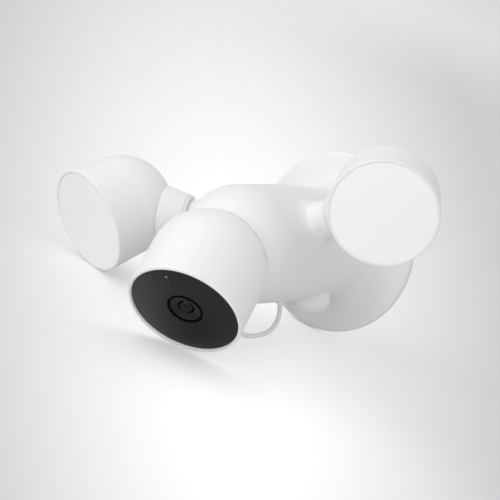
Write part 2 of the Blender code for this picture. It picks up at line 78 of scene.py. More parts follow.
LEAD_ROUTE = ((81.0, 43.3), (81.4, 47.4), (82.8, 51.6), (85.8, 55.8), (90.6, 59.4), (97.2, 62.2),
              (106.0, 63.8), (115.0, 64.3), (123.5, 64.1), (131.0, 62.4), (136.6, 59.6))


# ---------------------------------------------------------------- camera and room

def make_camera():
    data = bpy.data.cameras.new("view")
    data.lens = 237.6
    data.sensor_width = 36.0
    data.clip_start, data.clip_end = 0.05, 20.0
    cam = bpy.data.objects.new("view", data)
    bpy.context.scene.collection.objects.link(cam)
    look = Vector((-0.5430, 0.8397, -0.0064)).normalized()
    up = Vector((0.0154, 0.0176, 0.9997))
    right = look.cross(up).normalized()
    up = right.cross(look)
    turn = Matrix((right, up, -look)).transposed().to_4x4()
    turn.translation = Vector((1.25297, -2.05613, 0.01056))
    cam.matrix_world = turn
    bpy.context.scene.camera = cam
    return right, up, look


# ---------------------------------------------------------------- shader nodes

def linear(code):
    """An sRGB hex colour as linear RGBA."""
    out = []
    for k in (0, 2, 4):
        v = int(code[k:k + 2], 16) / 255
        out.append(v / 12.92 if v <= 0.04045 else ((v + 0.055) / 1.055) ** 2.4)
    return (*out, 1.0)


def node(tree, kind, links=(), **settings):
    """Adds a node; links are (input, socket) pairs, settings are inputs or attributes."""
    n = tree.nodes.new(kind)
    for key, value in settings.items():
        if hasattr(n, key):
            setattr(n, key, value)
        else:
            n.inputs[key.replace("_", " ")].default_value = value
    for name, socket in links:
        tree.links.new(socket, n.inputs[name])
    return n


def new_material(name, **shader):
    m = bpy.data.materials.new(name)
    m.use_nodes = True
    b = m.node_tree.nodes["Principled BSDF"]
    for key, value in shader.items():
        b.inputs[key.replace("_", " ")].default_value = value
    return m, m.node_tree, b


def grain(tree, bsdf, size_mm, depth_mm, strength, detail=2.0):
    """Fine relief of a spark-eroded mould; size_mm is the spacing of its grains."""
    place = node(tree, "ShaderNodeTexCoord")
    noise = node(tree, "ShaderNodeTexNoise", [("Vector", place.outputs["Object"])],
                 Scale=1000.0 / size_mm, Detail=detail, Roughness=0.55)
    bump = node(tree, "ShaderNodeBump", [("Height", noise.outputs["Fac"])],
                Strength=strength, Distance=depth_mm * MM)
    tree.links.new(bump.outputs["Normal"], bsdf.inputs["Normal"])
    return place, noise


def tint(tree, bsdf, place, size_mm, low, high):
    """Slow change of colour between two shades over size_mm."""
    cloud = node(tree, "ShaderNodeTexNoise", [("Vector", place.outputs["Object"])],
                 Scale=1000.0 / size_mm, Detail=3.0, Roughness=0.5)
    mix = node(tree, "ShaderNodeMix", [("Factor", cloud.outputs["Fac"])], data_type="RGBA")
    mix.inputs[6].default_value = linear(low)
    mix.inputs[7].default_value = linear(high)
    tree.links.new(mix.outputs[2], bsdf.inputs["Base Color"])
    return cloud


def sheen_range(tree, bsdf, source, low, high):
    """Roughness that follows a pattern between two values."""
    span = node(tree, "ShaderNodeMapRange", [("Value", source)])
    span.inputs["To Min"].default_value = low
    span.inputs["To Max"].default_value = high
    tree.links.new(span.outputs["Result"], bsdf.inputs["Roughness"])


def moulded(name, low, high, rough, size_mm=0.5, strength=0.12, ior=1.5):
    m, tree, b = new_material(name, IOR=ior)
    place, noise = grain(tree, b, size_mm, 0.05, strength)
    tint(tree, b, place, 60.0, low, high)
    sheen_range(tree, b, noise.outputs["Fac"], rough - 0.05, rough + 0.05)
    return m


def materials():
    made = {}
    # Matt white ASA of the outdoor mouldings: fine spark-eroded grain, soft highlight.
    made["white"] = moulded("asa_white_matt_moulded", "F3F3F2", "F7F7F6", 0.46)
    # The camera's body is the same resin, polished a little finer.
    made["camera"] = moulded("asa_white_fine_moulded", "F5F5F4", "F8F8F7", 0.40, 0.4, 0.08)
    # Frosted polycarbonate light window: very even, slightly translucent, with a painted glow (a faint
    # emission) that brightens the unlit window.
    m, tree, b = new_material("polycarbonate_frosted", IOR=1.58, Emission_Strength=0.1)
    # Painted glow: the emission stands in for light that the reflector sends back.
    b.inputs["Emission Color"].default_value = linear("FFFFFF")  # light that the reflector sends back
    place, noise = grain(tree, b, 0.35, 0.04, 0.10)
    tint(tree, b, place, 40.0, "F4F4F3", "F7F7F6")
    sheen_range(tree, b, noise.outputs["Fac"], 0.5, 0.6)
    made["frost"] = m
    # Polished high-density polyethylene of the presence sensor's cover.
    made["smooth"] = moulded("polyethylene_white_smooth", "F2F2F1", "F6F6F5", 0.36, 0.6, 0.05, 1.54)
    # Clear diffused epoxy of the small status lamp, unlit.
    made["status"] = moulded("epoxy_grey_diffused", "9A9C9E", "A6A8AA", 0.4, 0.3, 0.1, 1.55)
    # Light grey silicone of the seals.
    made["seal"] = moulded("silicone_light_grey", "BDBDBC", "C6C6C5", 0.62, 0.6, 0.2, 1.43)
    made["ring"] = moulded("acetal_off_white", "E4E4E3", "E9E9E8", 0.4, 0.5, 0.05, 1.48)
    made["pad"] = moulded("silicone_mid_grey", "6E6F70", "7A7B7C", 0.6, 0.6, 0.2, 1.43)
    # White TPE jacket of the lead.
    made["jacket"] = moulded("tpe_white_extruded", "EDEDEC", "F1F1F0", 0.5, 0.4, 0.15, 1.48)
    # Back-printed black acrylic: dark body under a clear glossy face, with a painted reflection that lightens
    # the black towards the -X side.
    m, tree, b = new_material("acrylic_black_gloss", IOR=1.42)
    place, noise = grain(tree, b, 3.0, 0.01, 0.03)
    part = node(tree, "ShaderNodeSeparateXYZ", [(0, place.outputs["Object"])])
    # Painted reflection: the base colour runs from dark grey at -X to near black at +X.
    painted_reflection_sweep = node(tree, "ShaderNodeMapRange", [("Value", part.outputs["X"])], interpolation_type="SMOOTHSTEP")
    painted_reflection_sweep.inputs["From Min"].default_value = -0.046
    painted_reflection_sweep.inputs["From Max"].default_value = 0.012
    mix = node(tree, "ShaderNodeMix", [("Factor", painted_reflection_sweep.outputs["Result"])], data_type="RGBA")
    mix.inputs[6].default_value = linear("3C3C3D")
    mix.inputs[7].default_value = linear("060607")
    tree.links.new(mix.outputs[2], b.inputs["Base Color"])
    sheen_range(tree, b, noise.outputs["Fac"], 0.2, 0.28)
    made["face"] = m
    made["black"] = moulded("polycarbonate_black_matt", "121213", "18181A", 0.5, 0.3, 0.2, 1.58)
    # Dead black flocked coat of the ring round the lens.
    made["dark"] = moulded("coating_dead_black", "030303", "050505", 0.9, 0.3, 0.2, 1.2)
    made["barrel"] = moulded("anodised_dark_grey_satin", "161617", "1B1B1C", 0.42, 0.3, 0.1)
    # Coated glass of the front lens: near black, with a painted violet-blue coating reflection that lightens
    # the colour where the surface turns away from view.
    m, tree, b = new_material("glass_coated_lens", IOR=1.38)
    place = node(tree, "ShaderNodeTexCoord")
    # Painted reflection: lighter violet-blue towards grazing view.
    facing = node(tree, "ShaderNodeLayerWeight", Blend=0.35)
    mix = node(tree, "ShaderNodeMix", [("Factor", facing.outputs["Facing"])], data_type="RGBA")
    mix.inputs[6].default_value = linear("07070A")
    mix.inputs[7].default_value = linear("12141F")
    tree.links.new(mix.outputs[2], b.inputs["Base Color"])
    cloud = node(tree, "ShaderNodeTexNoise", [("Vector", place.outputs["Object"])], Scale=900.0)
    sheen_range(tree, b, cloud.outputs["Fac"], 0.03, 0.07)
    made["lens"] = m
    made["steel"] = metal("steel_zinc_plated", "9FA2A6", "B3B6BA", 0.34, 2.0)
    made["aluminium"] = metal("aluminium_die_cast", "A9ABAD", "B8BABC", 0.45, 0.8)
    made["board"] = moulded("solder_mask_green", "10401F", "16532A", 0.35, 1.2, 0.2)
    made["board_white"] = moulded("solder_mask_white", "DCDCD6", "E6E6E1", 0.35, 1.2, 0.2)
    made["phosphor"] = moulded("silicone_phosphor_yellow", "D9AE38", "E6C04C", 0.5, 0.5, 0.2)
    made["tape"] = moulded("polyester_tape_amber", "9A6A1E", "AD7A28", 0.35, 2.0, 0.2)
    made["film"] = moulded("pvc_wrap_blue", "1D3F7A", "24498A", 0.3, 2.0, 0.1)
    return made


def metal(name, low, high, rough, size_mm):
    m, tree, b = new_material(name, Metallic=1.0)
    place, noise = grain(tree, b, size_mm, 0.03, 0.2, 4.0)
    tint(tree, b, place, size_mm * 4, low, high)
    sheen_range(tree, b, noise.outputs["Fac"], rough - 0.08, rough + 0.08)
    return m


# ---------------------------------------------------------------- shapes

def frame_at(origin, z_axis, x_axis=(1.0, 0.0, 0.0)):
    z = Vector(z_axis).normalized()
    x = Vector(x_axis)
    x = (x - z * x.dot(z)).normalized()
    m = Matrix((x, z.cross(x), z)).transposed().to_4x4()
    m.translation = Vector(origin) * MM
    return m


def rounded(corners, steps=6):
    """Outline through (r, h, radius) corners with each corner rounded; closed."""
    out = []
    n = len(corners)
    for i, (r, h, rad) in enumerate(corners):
        p = Vector((r, h))
        if rad <= 0:
            out.append((r, h))
            continue
        a = (Vector(corners[i - 1][:2]) - p)
        b = (Vector(corners[(i + 1) % n][:2]) - p)
        a.normalize()
        b.normalize()
        half = a.angle(b) / 2
        back = rad / math.tan(half)
        centre = p + (a + b).normalized() * (rad / math.sin(half))
        start, end = p + a * back - centre, p + b * back - centre
        turn = start.angle_signed(end)
        for k in range(steps + 1):
            q = start.copy()
            q.rotate(Matrix.Rotation(-turn * k / steps, 2))
            out.append(tuple(centre + q))
    return out


def arc(centre, radius, start, end, steps):
    """(r, h) points about (0, centre); the angle is counted from -h."""
    out = []
    for k in range(steps + 1):
        a = math.radians(start + (end - start) * k / steps)
        r = radius * math.sin(a)
        out.append((0.0 if abs(r) < 1e-5 else r, centre - radius * math.cos(a)))
    return out


def curve_through(points, step):
    """A smooth line through points, with a point about every step."""
    out = []
    n = len(points)
    for i in range(n - 1):
        p0, p1 = Vector(points[max(i - 1, 0)]), Vector(points[i])
        p2, p3 = Vector(points[i + 1]), Vector(points[min(i + 2, n - 1)])
        span = (p2 - p1).length
        m1 = (p2 - p0) * (span / max((p2 - p0).length, 1e-9))
        m2 = (p3 - p1) * (span / max((p3 - p1).length, 1e-9))
        count = max(1, round(span / step))
        for k in range(count):
            t = k / count
            out.append(p1 * (2 * t ** 3 - 3 * t ** 2 + 1) + m1 * (t ** 3 - 2 * t ** 2 + t)
                       + p2 * (3 * t ** 2 - 2 * t ** 3) + m2 * (t ** 3 - t ** 2))
    out.append(Vector(points[-1]))
    return out


def spun(outline, place, steps, closed=True):
    """Spins an outline of (r, h) about Z and puts the result in place."""
    bm = bmesh.new()
    verts = [bm.verts.new((r * MM, 0.0, h * MM)) for r, h in outline]
    edges = [bm.edges.new(pair) for pair in zip(verts, verts[1:])]
    if closed and not (outline[0][0] < 1e-5 and outline[-1][0] < 1e-5):
        edges.append(bm.edges.new((verts[-1], verts[0])))
    bmesh.ops.spin(bm, geom=verts + edges, cent=(0, 0, 0), axis=(0, 0, 1), angle=2 * math.pi,
                   steps=steps, use_merge=True, use_duplicate=False)
    bmesh.ops.remove_doubles(bm, verts=bm.verts, dist=1e-6)
    bmesh.ops.dissolve_degenerate(bm, edges=bm.edges, dist=1e-7)
    bmesh.ops.recalc_face_normals(bm, faces=bm.faces)
    bmesh.ops.transform(bm, matrix=place, verts=bm.verts)
    return bm


def piece(name, bm, finish, slot, body, *replaced, sharp=32.0):
    """A finished piece that rides on a body and stands for CAD nodes."""
    mesh = bpy.data.meshes.new(name)
    bm.to_mesh(mesh)
    bm.free()
    mesh.shade_smooth()
    mesh.set_sharp_from_angle(angle=math.radians(sharp))
    o = bpy.data.objects.new(name, mesh)
    bpy.context.scene.collection.objects.link(o)
    mesh.materials.append(FINISH[finish])
    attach(o, body)
    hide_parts(*replaced)
    return o


def tool(bm):
    mesh = bpy.data.meshes.new("tool")
    bm.to_mesh(mesh)
    bm.free()
    o = bpy.data.objects.new("tool", mesh)
    bpy.context.scene.collection.objects.link(o)
    return o


def combine(o, tools, operation):
    """Joins or cuts one solid with others, and removes them."""
    for t in tools:
        mod = o.modifiers.new("solid", "BOOLEAN")
        mod.operation = operation
        mod.solver = "EXACT"
        mod.object = t
    bpy.context.view_layer.update()
    mesh = bpy.data.meshes.new_from_object(o.evaluated_get(bpy.context.evaluated_depsgraph_get()))
    o.modifiers.clear()
    old = o.data
    o.data = mesh
    mesh.name = o.name
    bpy.data.meshes.remove(old)
    for t in tools:
        bpy.data.objects.remove(t, do_unlink=True)


def even_out(o, sharp=32.0):
    bm = bmesh.new()
    bm.from_mesh(o.data)
    bmesh.ops.remove_doubles(bm, verts=bm.verts, dist=1e-6)
    bm.to_mesh(o.data)
    bm.free()
    o.data.shade_smooth()
    o.data.set_sharp_from_angle(angle=math.radians(sharp))


def rod(radius, low, high, place, steps=48):
    return tool(spun([(0, low), (radius, low), (radius, high), (0, high)], place, steps))


# ---------------------------------------------------------------- places

WALLWARD = frame_at((0, 0, 0), (0, -1, 0))


def arm_end(side):
    return Vector((side * 110.7, -116.5, 29.0))


def arm_along(side):
    return (arm_end(side) - ARM_START).normalized()


def light_normal(side):
    yaw, pitch = math.radians(25.5), math.radians(20.7)
    return Vector((side * math.sin(yaw) * math.cos(pitch), -math.cos(yaw) * math.cos(pitch),
                   -math.sin(pitch)))


def camera_place():
    tilt = math.radians(CAM_TILT)
    return frame_at(DOME, (0, -math.cos(tilt), -math.sin(tilt)))


def seat_place():
    return frame_at(DOME, Vector((0, -NECK_END, 0)) - DOME)


def side_place(along):
    """Local Z points out through the camera's underside."""
    return camera_place() @ Matrix.Translation((0, 0, along * MM)) @ Matrix.Rotation(math.pi / 2, 4, "X")


# ---------------------------------------------------------------- housing

NECK_LINE = ((62.2, 0.5), (64.9, 0.5), (65.6, 0.8), (65.8, 1.5), (65.8, 3.4), (65.3, 4.9), (63.6, 6.1),
             (57.4, 7.8), (50.4, 9.6), (45.2, 12.0), (41.6, 15.4), (39.5, 19.6), (38.5, 25.0),
             (38.8, 35.0), (39.8, 46.0), (41.2, 64.0), (41.9, 84.0), (42.0, 104.0), (42.0, NECK_END))
ROOM = ((62.0, -1.0), (62.0, 4.7), (55.0, 5.6), (48.0, 7.2), (42.5, 9.6), (38.6, 13.0), (36.3, 18.0),
        (35.6, 25.0), (37.2, 46.0), (38.6, 64.0), (39.3, 84.0), (39.3, NECK_END))
RADII = [(p.x, p.y) for p in curve_through([(h, r) for r, h in NECK_LINE[5:]], 0.5)]
ARM_BLEND = 15.0  # mm over which the arm runs into the neck


def neck_radius(a):
    """Outside radius of the neck at a distance from the wall."""
    k = bisect.bisect_right(RADII, (a, 0.0))
    (a0, r0), (a1, r1) = RADII[max(k - 1, 0)], RADII[min(k, len(RADII) - 1)]
    return r0 if a1 <= a0 else r0 + (r1 - r0) * min(max((a - a0) / (a1 - a0), 0.0), 1.0)


def soft_min(a, b):
    h = max(ARM_BLEND - abs(a - b), 0.0) / ARM_BLEND
    return min(a, b) - h ** 3 * ARM_BLEND / 6.0


def skin_distance(p):
    """Signed distance in mm to the neck and its two arms, run together."""
    if -p.y > NECK_END:
        d = (p - Vector((0, -NECK_END, 0))).length - NECK_R
    else:
        d = math.hypot(p.x, p.z) - neck_radius(-p.y)
    q = p - ARM_START
    for side in (-1, 1):
        along = arm_along(side)
        d = soft_min(d, (q - along * max(q.dot(along), 0.0)).length - STUB_R)
    return d


def pull_to_skin(bm):
    """Moves the points near the arms' roots onto the blended surface."""
    for v in bm.verts:
        p = v.co / MM
        along_arm = max((p - ARM_START).dot(arm_along(s)) for s in (-1, 1))
        if -p.y < 26.0 or -p.y > 168.0 or along_arm > STUB_END - 1.2:
            continue
        for _ in range(6):
            f = skin_distance(p)
            if abs(f) < 0.002:
                break
            e = 0.02
            g = Vector([skin_distance(p + Vector(step)) - f
                        for step in ((e, 0, 0), (0, e, 0), (0, 0, e))]) / e
            p = p - g * (f / max(g.length_squared, 0.25))
        v.co = p * MM


def near_roots(bm):
    found = []
    for v in bm.verts:
        for side in (-1, 1):
            q = v.co / MM - ARM_START
            t = q.dot(arm_along(side))
            if 26.0 < t < 50.0 and (q - arm_along(side) * t).length < STUB_R + 9.0:
                found.append(v)
                break
    return found


def cup_tool(extra):
    """The round hollow of the neck's end, with the deeper seat of the pad."""
    lip, deep = CAM_R + 0.12 + extra, CAM_R + 1.8 + extra
    return tool(spun(arc(0.0, deep, 180.0, 134.0, 24) + arc(0.0, lip, 134.0, 0.0, 90), seat_place(), 176))


def build_housing():
    line = [(min(v.x, BASE_R), v.y) for v in curve_through(NECK_LINE, 1.4)]
    end = arc(NECK_END, NECK_R, 90.0, 180.0, 34)[1:]
    o = piece("housing_skin", spun([(0.0, 0.5)] + line + end, WALLWARD, 180), "white", "white_moulding",
              "housing", "main_housing", sharp=40.0)
    arms = []
    for side in (-1, 1):
        outline = [(0.0, 25.0)] + [(STUB_R, 25.0 + 1.2 * k) for k in range(36)]
        outline += [(STUB_R, STUB_END - 0.5), (STUB_R - 0.15, STUB_END - 0.15), (STUB_R - 0.5, STUB_END),
                    (0.0, STUB_END)]
        arms.append(tool(spun(outline, frame_at(ARM_START, arm_along(side), (0, 0, 1)), 84)))
    combine(o, arms, "UNION")
    bm = bmesh.new()
    bm.from_mesh(o.data)
    bmesh.ops.remove_doubles(bm, verts=bm.verts, dist=0.0003)
    pull_to_skin(bm)
    for _ in range(3):
        bmesh.ops.smooth_vert(bm, verts=near_roots(bm), factor=0.5, use_axis_x=True, use_axis_y=True,
                              use_axis_z=True)
    pull_to_skin(bm)
    bm.to_mesh(o.data)
    bm.free()
    room = tool(spun([(0.0, -1.0)] + list(ROOM) + arc(NECK_END, 39.3, 90.0, 180.0, 12)[1:], WALLWARD, 96))
    combine(room, [cup_tool(2.6)], "DIFFERENCE")
    cutters = [cup_tool(0.0), room]
    for side in (-1, 1):
        place = frame_at(ARM_START, arm_along(side), (0, 0, 1))
        cutters += [rod(10.4, 28.0, STUB_END - 3.1, place), rod(6.6, 40.0, STUB_END + 2.0, place)]
    cutters.append(rod(PIR_R + 0.12, 28.0, 44.0, frame_at((0, -PIR_Y, 0), (0, 0, -1)), 120))
    cutters.append(rod(LEAD_R + 1.35, 34.0, 44.0, frame_at((0, -GLAND_Y, 0), (0, 0, -1))))
    combine(o, cutters, "DIFFERENCE")
    even_out(o)


def build_back():
    plate = rounded([(0, 0, 0), (38.0, 0, 0.3), (38.0, 2.0, 0.6), (0, 2.0, 0)], 3)
    o = piece("wall_bracket", spun(plate, WALLWARD, 96), "steel", "zinc_steel", "housing", "mounting_bracket")
    holes = [rod(9.0, -1, 4, frame_at((0, 0, -19), (0, -1, 0)))]
    holes += [rod(2.4, -1, 4, frame_at((x, 0, 0), (0, -1, 0))) for x in (-30, 30)]
    combine(o, holes, "DIFFERENCE")
    even_out(o)
    ring = rounded([(52.0, 0, 0.6), (61.2, 0, 0.6), (61.2, 2.3, 0.4), (52.0, 2.3, 0.4)], 4)
    piece("wall_seal", spun(ring, WALLWARD, 128), "seal", "grey_rubber", "housing", "wall_gasket")
    cover = rounded([(11.0, 2.6, 0.3), (61.5, 2.6, 0.3), (61.5, 4.4, 0.3), (11.0, 4.4, 0.3)], 3)
    o = piece("back_cover", spun(cover, WALLWARD, 128), "white", "white_moulding", "housing", "rear_plate")
    spots = []
    for k in range(3):
        a = math.radians(90 + 120 * k)
        spots.append(frame_at((46 * math.cos(a), 0, 46 * math.sin(a)), (0, -1, 0)))
    combine(o, [rod(1.8, 1, 6, at, 24) for at in spots], "DIFFERENCE")
    even_out(o)
    for k, at in enumerate(spots):
        head = rounded([(0, 0.9, 0), (2.8, 0.9, 0.6), (2.8, 2.3, 0.2), (1.4, 2.3, 0), (1.4, 7.9, 0.3),
                        (0, 7.9, 0)], 3)
        o = piece(f"cover_screw_{k + 1}", spun(head, at, 32), "steel", "zinc_steel", "housing",
                  f"rear_plate_screw_{k + 1}")
        cross = [tool(bar(at, *size)) for size in ((3.2, 0.7), (0.7, 3.2))]
        combine(o, cross, "DIFFERENCE")
        even_out(o)


def bar(at, x, y):
    """One bar of a cross recess, cut into the back of a screw's head."""
    bm = bmesh.new()
    bmesh.ops.create_cube(bm, size=MM)
    bmesh.ops.transform(bm, matrix=at @ Matrix.Translation((0, 0, 0.8 * MM))
                        @ Matrix.Diagonal((x, y, 2.0, 1)),
                        verts=bm.verts)
    return bm


def build_pir():
    down = frame_at((0, -PIR_Y, 0), (0, 0, -1))
    cup = rounded([(14.2, 33.6, 0.2), (PIR_R, 33.6, 0.2), (PIR_R, 51.0, 9.4), (0, 51.0, 0), (0, 49.4, 0),
                   (14.2, 49.4, 7.4), (14.2, 41.0, 0)], 16)
    piece("pir_cover", spun(cup, down, 120), "smooth", "white_moulding", "housing", "pir_bezel", "pir_lens")


# ---------------------------------------------------------------- lights

def build_light(side, label):
    arm, lamp = f"{label}_arm", f"{label}_light"
    out = frame_at(arm_end(side), -arm_along(side), (0, 0, 1))  # heights run from the lamp to the neck
    ring = rounded([(6.6, 49.1, 0.3), (16.2, 49.1, 0.3), (16.2, 51.34, 0.3), (6.6, 51.34, 0.3)], 3)
    piece(f"{label}_joint_ring", spun(ring, out, 96), "ring", "grey_rubber", "housing",
          f"{label}_swivel_ring")
    cup = arc(0.0, LIGHT_R + 0.12, 180.0 - 31.0, 180.0 - 8.0, 14)
    web = cup[-1][1] + 2.4
    wide = cup[0][1]
    corners = [(r, h, 0) for r, h in cup] + [
        (cup[-1][0], web, 0), (14.0, web - 2.2, 0), (13.6, 46.4, 0), (4.6, 46.4, 0), (4.6, 58.2, 0),
        (6.2, 58.2, 0), (6.2, 49.05, 0), (16.5, 49.05, 0.9), (20.2, wide + 1.0, 0.5), (20.0, wide, 0.1)]
    loop = rounded(corners, 5)
    piece(f"{label}_socket", spun(loop, out, 120), "white", "white_moulding", arm, f"{label}_collar")
    place = frame_at(arm_end(side), light_normal(side), (0, 0, 1))
    rim, depth = LIGHT_RIM_R, LIGHT_DEPTH
    line = [Vector(p) for p in arc(0.0, LIGHT_R, 0.0, 90.0, 56)]
    line += curve_through([(LIGHT_R, 0.4), (LIGHT_R + 0.3, 7.0), (LIGHT_R + 0.75, 15.0), (rim - 0.25, 23.0),
                           (rim, depth - 1.2)], 1.4)
    lip = [(rim - 0.03, depth - 0.75), (rim - 0.15, depth - 0.35), (rim - 0.4, depth - 0.08),
           (rim - 0.8, depth + 0.08), (rim - 1.3, depth + 0.06), (rim - 1.7, depth - 0.1),
           (rim - 1.9, depth - 0.4)]
    inside = [(rim - 1.9, depth - 2.8), (34.35, depth - 2.8)] + arc(0.0, 34.35, 90.0, 0.0, 36)
    shell = piece(f"{label}_lamp_shell", spun([tuple(p) for p in line] + lip + inside, place, 168), "white",
                  "white_moulding", lamp, f"{label}_light_shell")
    combine(shell, [tool(stem_slot(side))], "DIFFERENCE")
    even_out(shell)
    front = depth - 0.3
    window = rounded([(0, front - 2.0, 0), (rim - 1.95, front - 2.0, 0), (rim - 1.95, front, 0.2),
                      (0, front, 0)], 5)
    piece(f"{label}_window", spun(window, place, 144), "frost", "frosted_diffuser", lamp,
          f"{label}_diffuser")


def stem_slot(side):
    """The slot in the lamp's back along which the clamp stem tilts."""
    pole, toward = -light_normal(side), -arm_along(side)
    rest = pole.angle(toward)
    sideways = (toward - pole * toward.dot(pole)).normalized()
    plane = frame_at(arm_end(side), pole.cross(sideways), pole)
    half = math.asin(SLOT_HALF / LIGHT_R)
    low, high = rest - math.radians(TILT_IN) - half, rest + math.radians(TILT_OUT) + half
    bm = bmesh.new()
    bmesh.ops.create_grid(bm, x_segments=1, y_segments=1, size=0.5)
    bmesh.ops.transform(bm, matrix=Matrix.Rotation(low, 4, "Z") @ Matrix.Translation((LIGHT_R * MM, 0, 0))
                        @ Matrix.Rotation(math.pi / 2, 4, "X") @ Matrix.Diagonal((0.014, 0.0074, 1, 1)),
                        verts=bm.verts)
    bmesh.ops.spin(bm, geom=bm.verts[:] + bm.edges[:] + bm.faces[:], cent=(0, 0, 0), axis=(0, 0, 1),
                   angle=high - low, steps=16, use_merge=False, use_duplicate=False)
    bmesh.ops.recalc_face_normals(bm, faces=bm.faces)
    bmesh.ops.transform(bm, matrix=plane, verts=bm.verts)
    return bm


# ---------------------------------------------------------------- camera

def build_camera():
    place = camera_place()
    face, inner = CAM_FACE, CAM_R - 2.6
    lip = [(CAM_R, face - 1.2), (CAM_R - 0.07, face - 0.65), (CAM_R - 0.28, face - 0.18),
           (CAM_R - 0.65, face + 0.14), (CAM_R - 1.1, face + 0.27), (CAM_R - 1.6, face + 0.22),
           (CAM_R - 2.0, face), (PANE_R + 0.1, face - 0.5)]
    outer = arc(0.0, CAM_R, 0.0, 90.0, 60) + [(CAM_R, 1.5 + 1.5 * k) for k in range(24)]
    inside = [(PANE_R + 0.1, face - 3.0), (inner - 1.0, face - 3.0),
              (inner - 1.0, face - 4.0), (inner, face - 5.0)] + arc(0.0, inner, 90.0, 0.0, 30)
    shell = piece("camera_body", spun(outer + lip + inside, place, 176), "camera", "white_moulding", "camera",
                  "camera_shell")
    combine(shell, [rod(3.5, inner - 9, CAM_R + 8, side_place(PLUG_AT)),
                    rod(3.15, inner - 9, CAM_R + 8, side_place(BUTTON_AT))], "DIFFERENCE")
    even_out(shell)
    top = face - 1.2
    pane = rounded([(LENS_R + 0.12, top - 1.5, 0), (PANE_R, top - 1.5, 0), (PANE_R, top, 0.35),
                    (LENS_R + 0.12, top, 0.15)], 5)
    glass = piece("camera_window", spun(pane, place, 160), "face", "black_glass", "camera", "face_glass")
    combine(glass, [rod(r, top - 9, top + 5, place @ Matrix.Translation((0, y * MM, 0)), 32)
                    for y, r in ((22.0, 0.6), (31.0, 1.15))], "DIFFERENCE")
    even_out(glass)
    ring = rounded([(11.6, top - 2.8, 0), (13.1, top - 2.8, 0), (13.1, top + 0.5, 0.4),
                    (11.6, top + 0.5, 0.35)], 5)
    piece("lens_ring", spun(ring, place, 96), "dark", "black_plastic", "camera", "lens_bezel")
    seat = top - 4.6
    steps = [(0, 28.6), (9.0, 28.6), (9.0, seat - 0.6), (11.3, seat - 0.1),
             (11.3, top - 0.6), (10.8, top - 0.4)]
    for k in range(4):  # the funnel's shallow light traps
        r, h = 10.3 - 1.0 * k, top - 0.55 - 0.4 * k
        steps += [(r, h), (r - 0.1, h - 0.28)]
    steps += [(6.2, top - 2.2), (6.2, seat), (0, seat)]
    piece("lens_mount", spun(steps, place, 96), "barrel", "black_plastic", "camera", "lens_barrel")
    dome = [(0, seat + 0.1), (5.9, seat + 0.1), (5.9, seat + 0.3)]
    dome += [(5.9 * math.cos(a), seat + 0.3 + 4.4 * math.sin(a))
             for a in [k * math.pi / 24 for k in range(1, 12)]]
    piece("front_lens", spun(dome + [(0, seat + 4.7)], place, 64), "lens", "lens_glass", "camera",
          "lens_element")
    lamp = rounded([(0, 30.0 + 0.3, 0), (1.0, 30.3, 0), (1.0, top - 0.1, 0.3), (0, top - 0.1, 0)], 3)
    piece("status_lamp", spun(lamp, place @ Matrix.Translation((0, 31 * MM, 0)), 32), "status",
          "frosted_diffuser", "camera", "status_light")
    port = side_place(PLUG_AT)
    plug = rounded([(0, 37.5, 0), (3.2, 37.5, 0.2), (3.2, 42.1, 0), (4.6, 42.1, 0.5), (4.6, 44.8, 1.4),
                    (2.5, 52.0, 0.5), (0, 52.0, 0)], 6)
    piece("plug_body", spun(plug, port, 56), "jacket", "white_moulding", "camera", "lead_plug")
    cap = rounded([(0, 36.0, 0), (4.2, 36.0, 0), (4.2, 37.2, 0), (2.95, 37.2, 0), (2.95, 41.3, 0.5),
                   (0, 41.3, 0)], 4)
    piece("reset_key", spun(cap, side_place(BUTTON_AT), 48), "white", "white_moulding", "reset_button",
          "reset_button")


# ---------------------------------------------------------------- lead

def build_lead():
    down = frame_at((0, -GLAND_Y, 0), (0, 0, -1))
    gland = rounded([(0, 36.5, 0), (2.9, 36.5, 0), (2.9, 43.0, 0.9), (0, 43.0, 0)], 5)
    piece("lead_grommet", spun(gland, down, 48), "jacket", "white_moulding", "housing", "lead_gland")
    tip = side_place(PLUG_AT) @ Vector((0, 0, 52.2 * MM))
    route = [Vector((0, -a * MM, -c * MM)) for a, c in LEAD_ROUTE] + [tip]
    first, second = route[:LEAD_SPLIT + 1], route[LEAD_SPLIT:]
    line = curve_through([tuple(p) for p in route], 0.0012)
    at = min(range(len(line)), key=lambda k: (line[k] - route[LEAD_SPLIT]).length)
    halves = (("lead_by_neck", line[:at + 1], "lead_neck_half", ("housing", "camera_seat"), first),
              ("lead_by_camera", line[at:], "lead_camera_half", ("camera_seat", "camera"), second))
    for name, points, node_name, bodies, ends in halves:
        curve = bpy.data.curves.new(name, "CURVE")
        curve.dimensions = "3D"
        curve.bevel_depth = LEAD_R * MM
        curve.bevel_resolution = 6
        curve.use_fill_caps = True
        spline = curve.splines.new("POLY")
        spline.points.add(len(points) - 1)
        for p, q in zip(spline.points, points):
            p.co = (*q, 1.0)
        holder = bpy.data.objects.new(name + "_line", curve)
        bpy.context.scene.collection.objects.link(holder)
        bpy.context.view_layer.update()
        mesh = bpy.data.meshes.new_from_object(holder.evaluated_get(bpy.context.evaluated_depsgraph_get()))
        bpy.data.objects.remove(holder, do_unlink=True)
        mesh.name = name
        mesh.shade_smooth()
        mesh.set_sharp_from_angle(angle=math.radians(40))
        mesh.materials.clear()
        mesh.materials.append(FINISH["jacket"])
        o = bpy.data.objects.new(name, mesh)
        bpy.context.scene.collection.objects.link(o)
        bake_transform(o)
        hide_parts(node_name)


# ---------------------------------------------------------------- the CAD nodes that stay

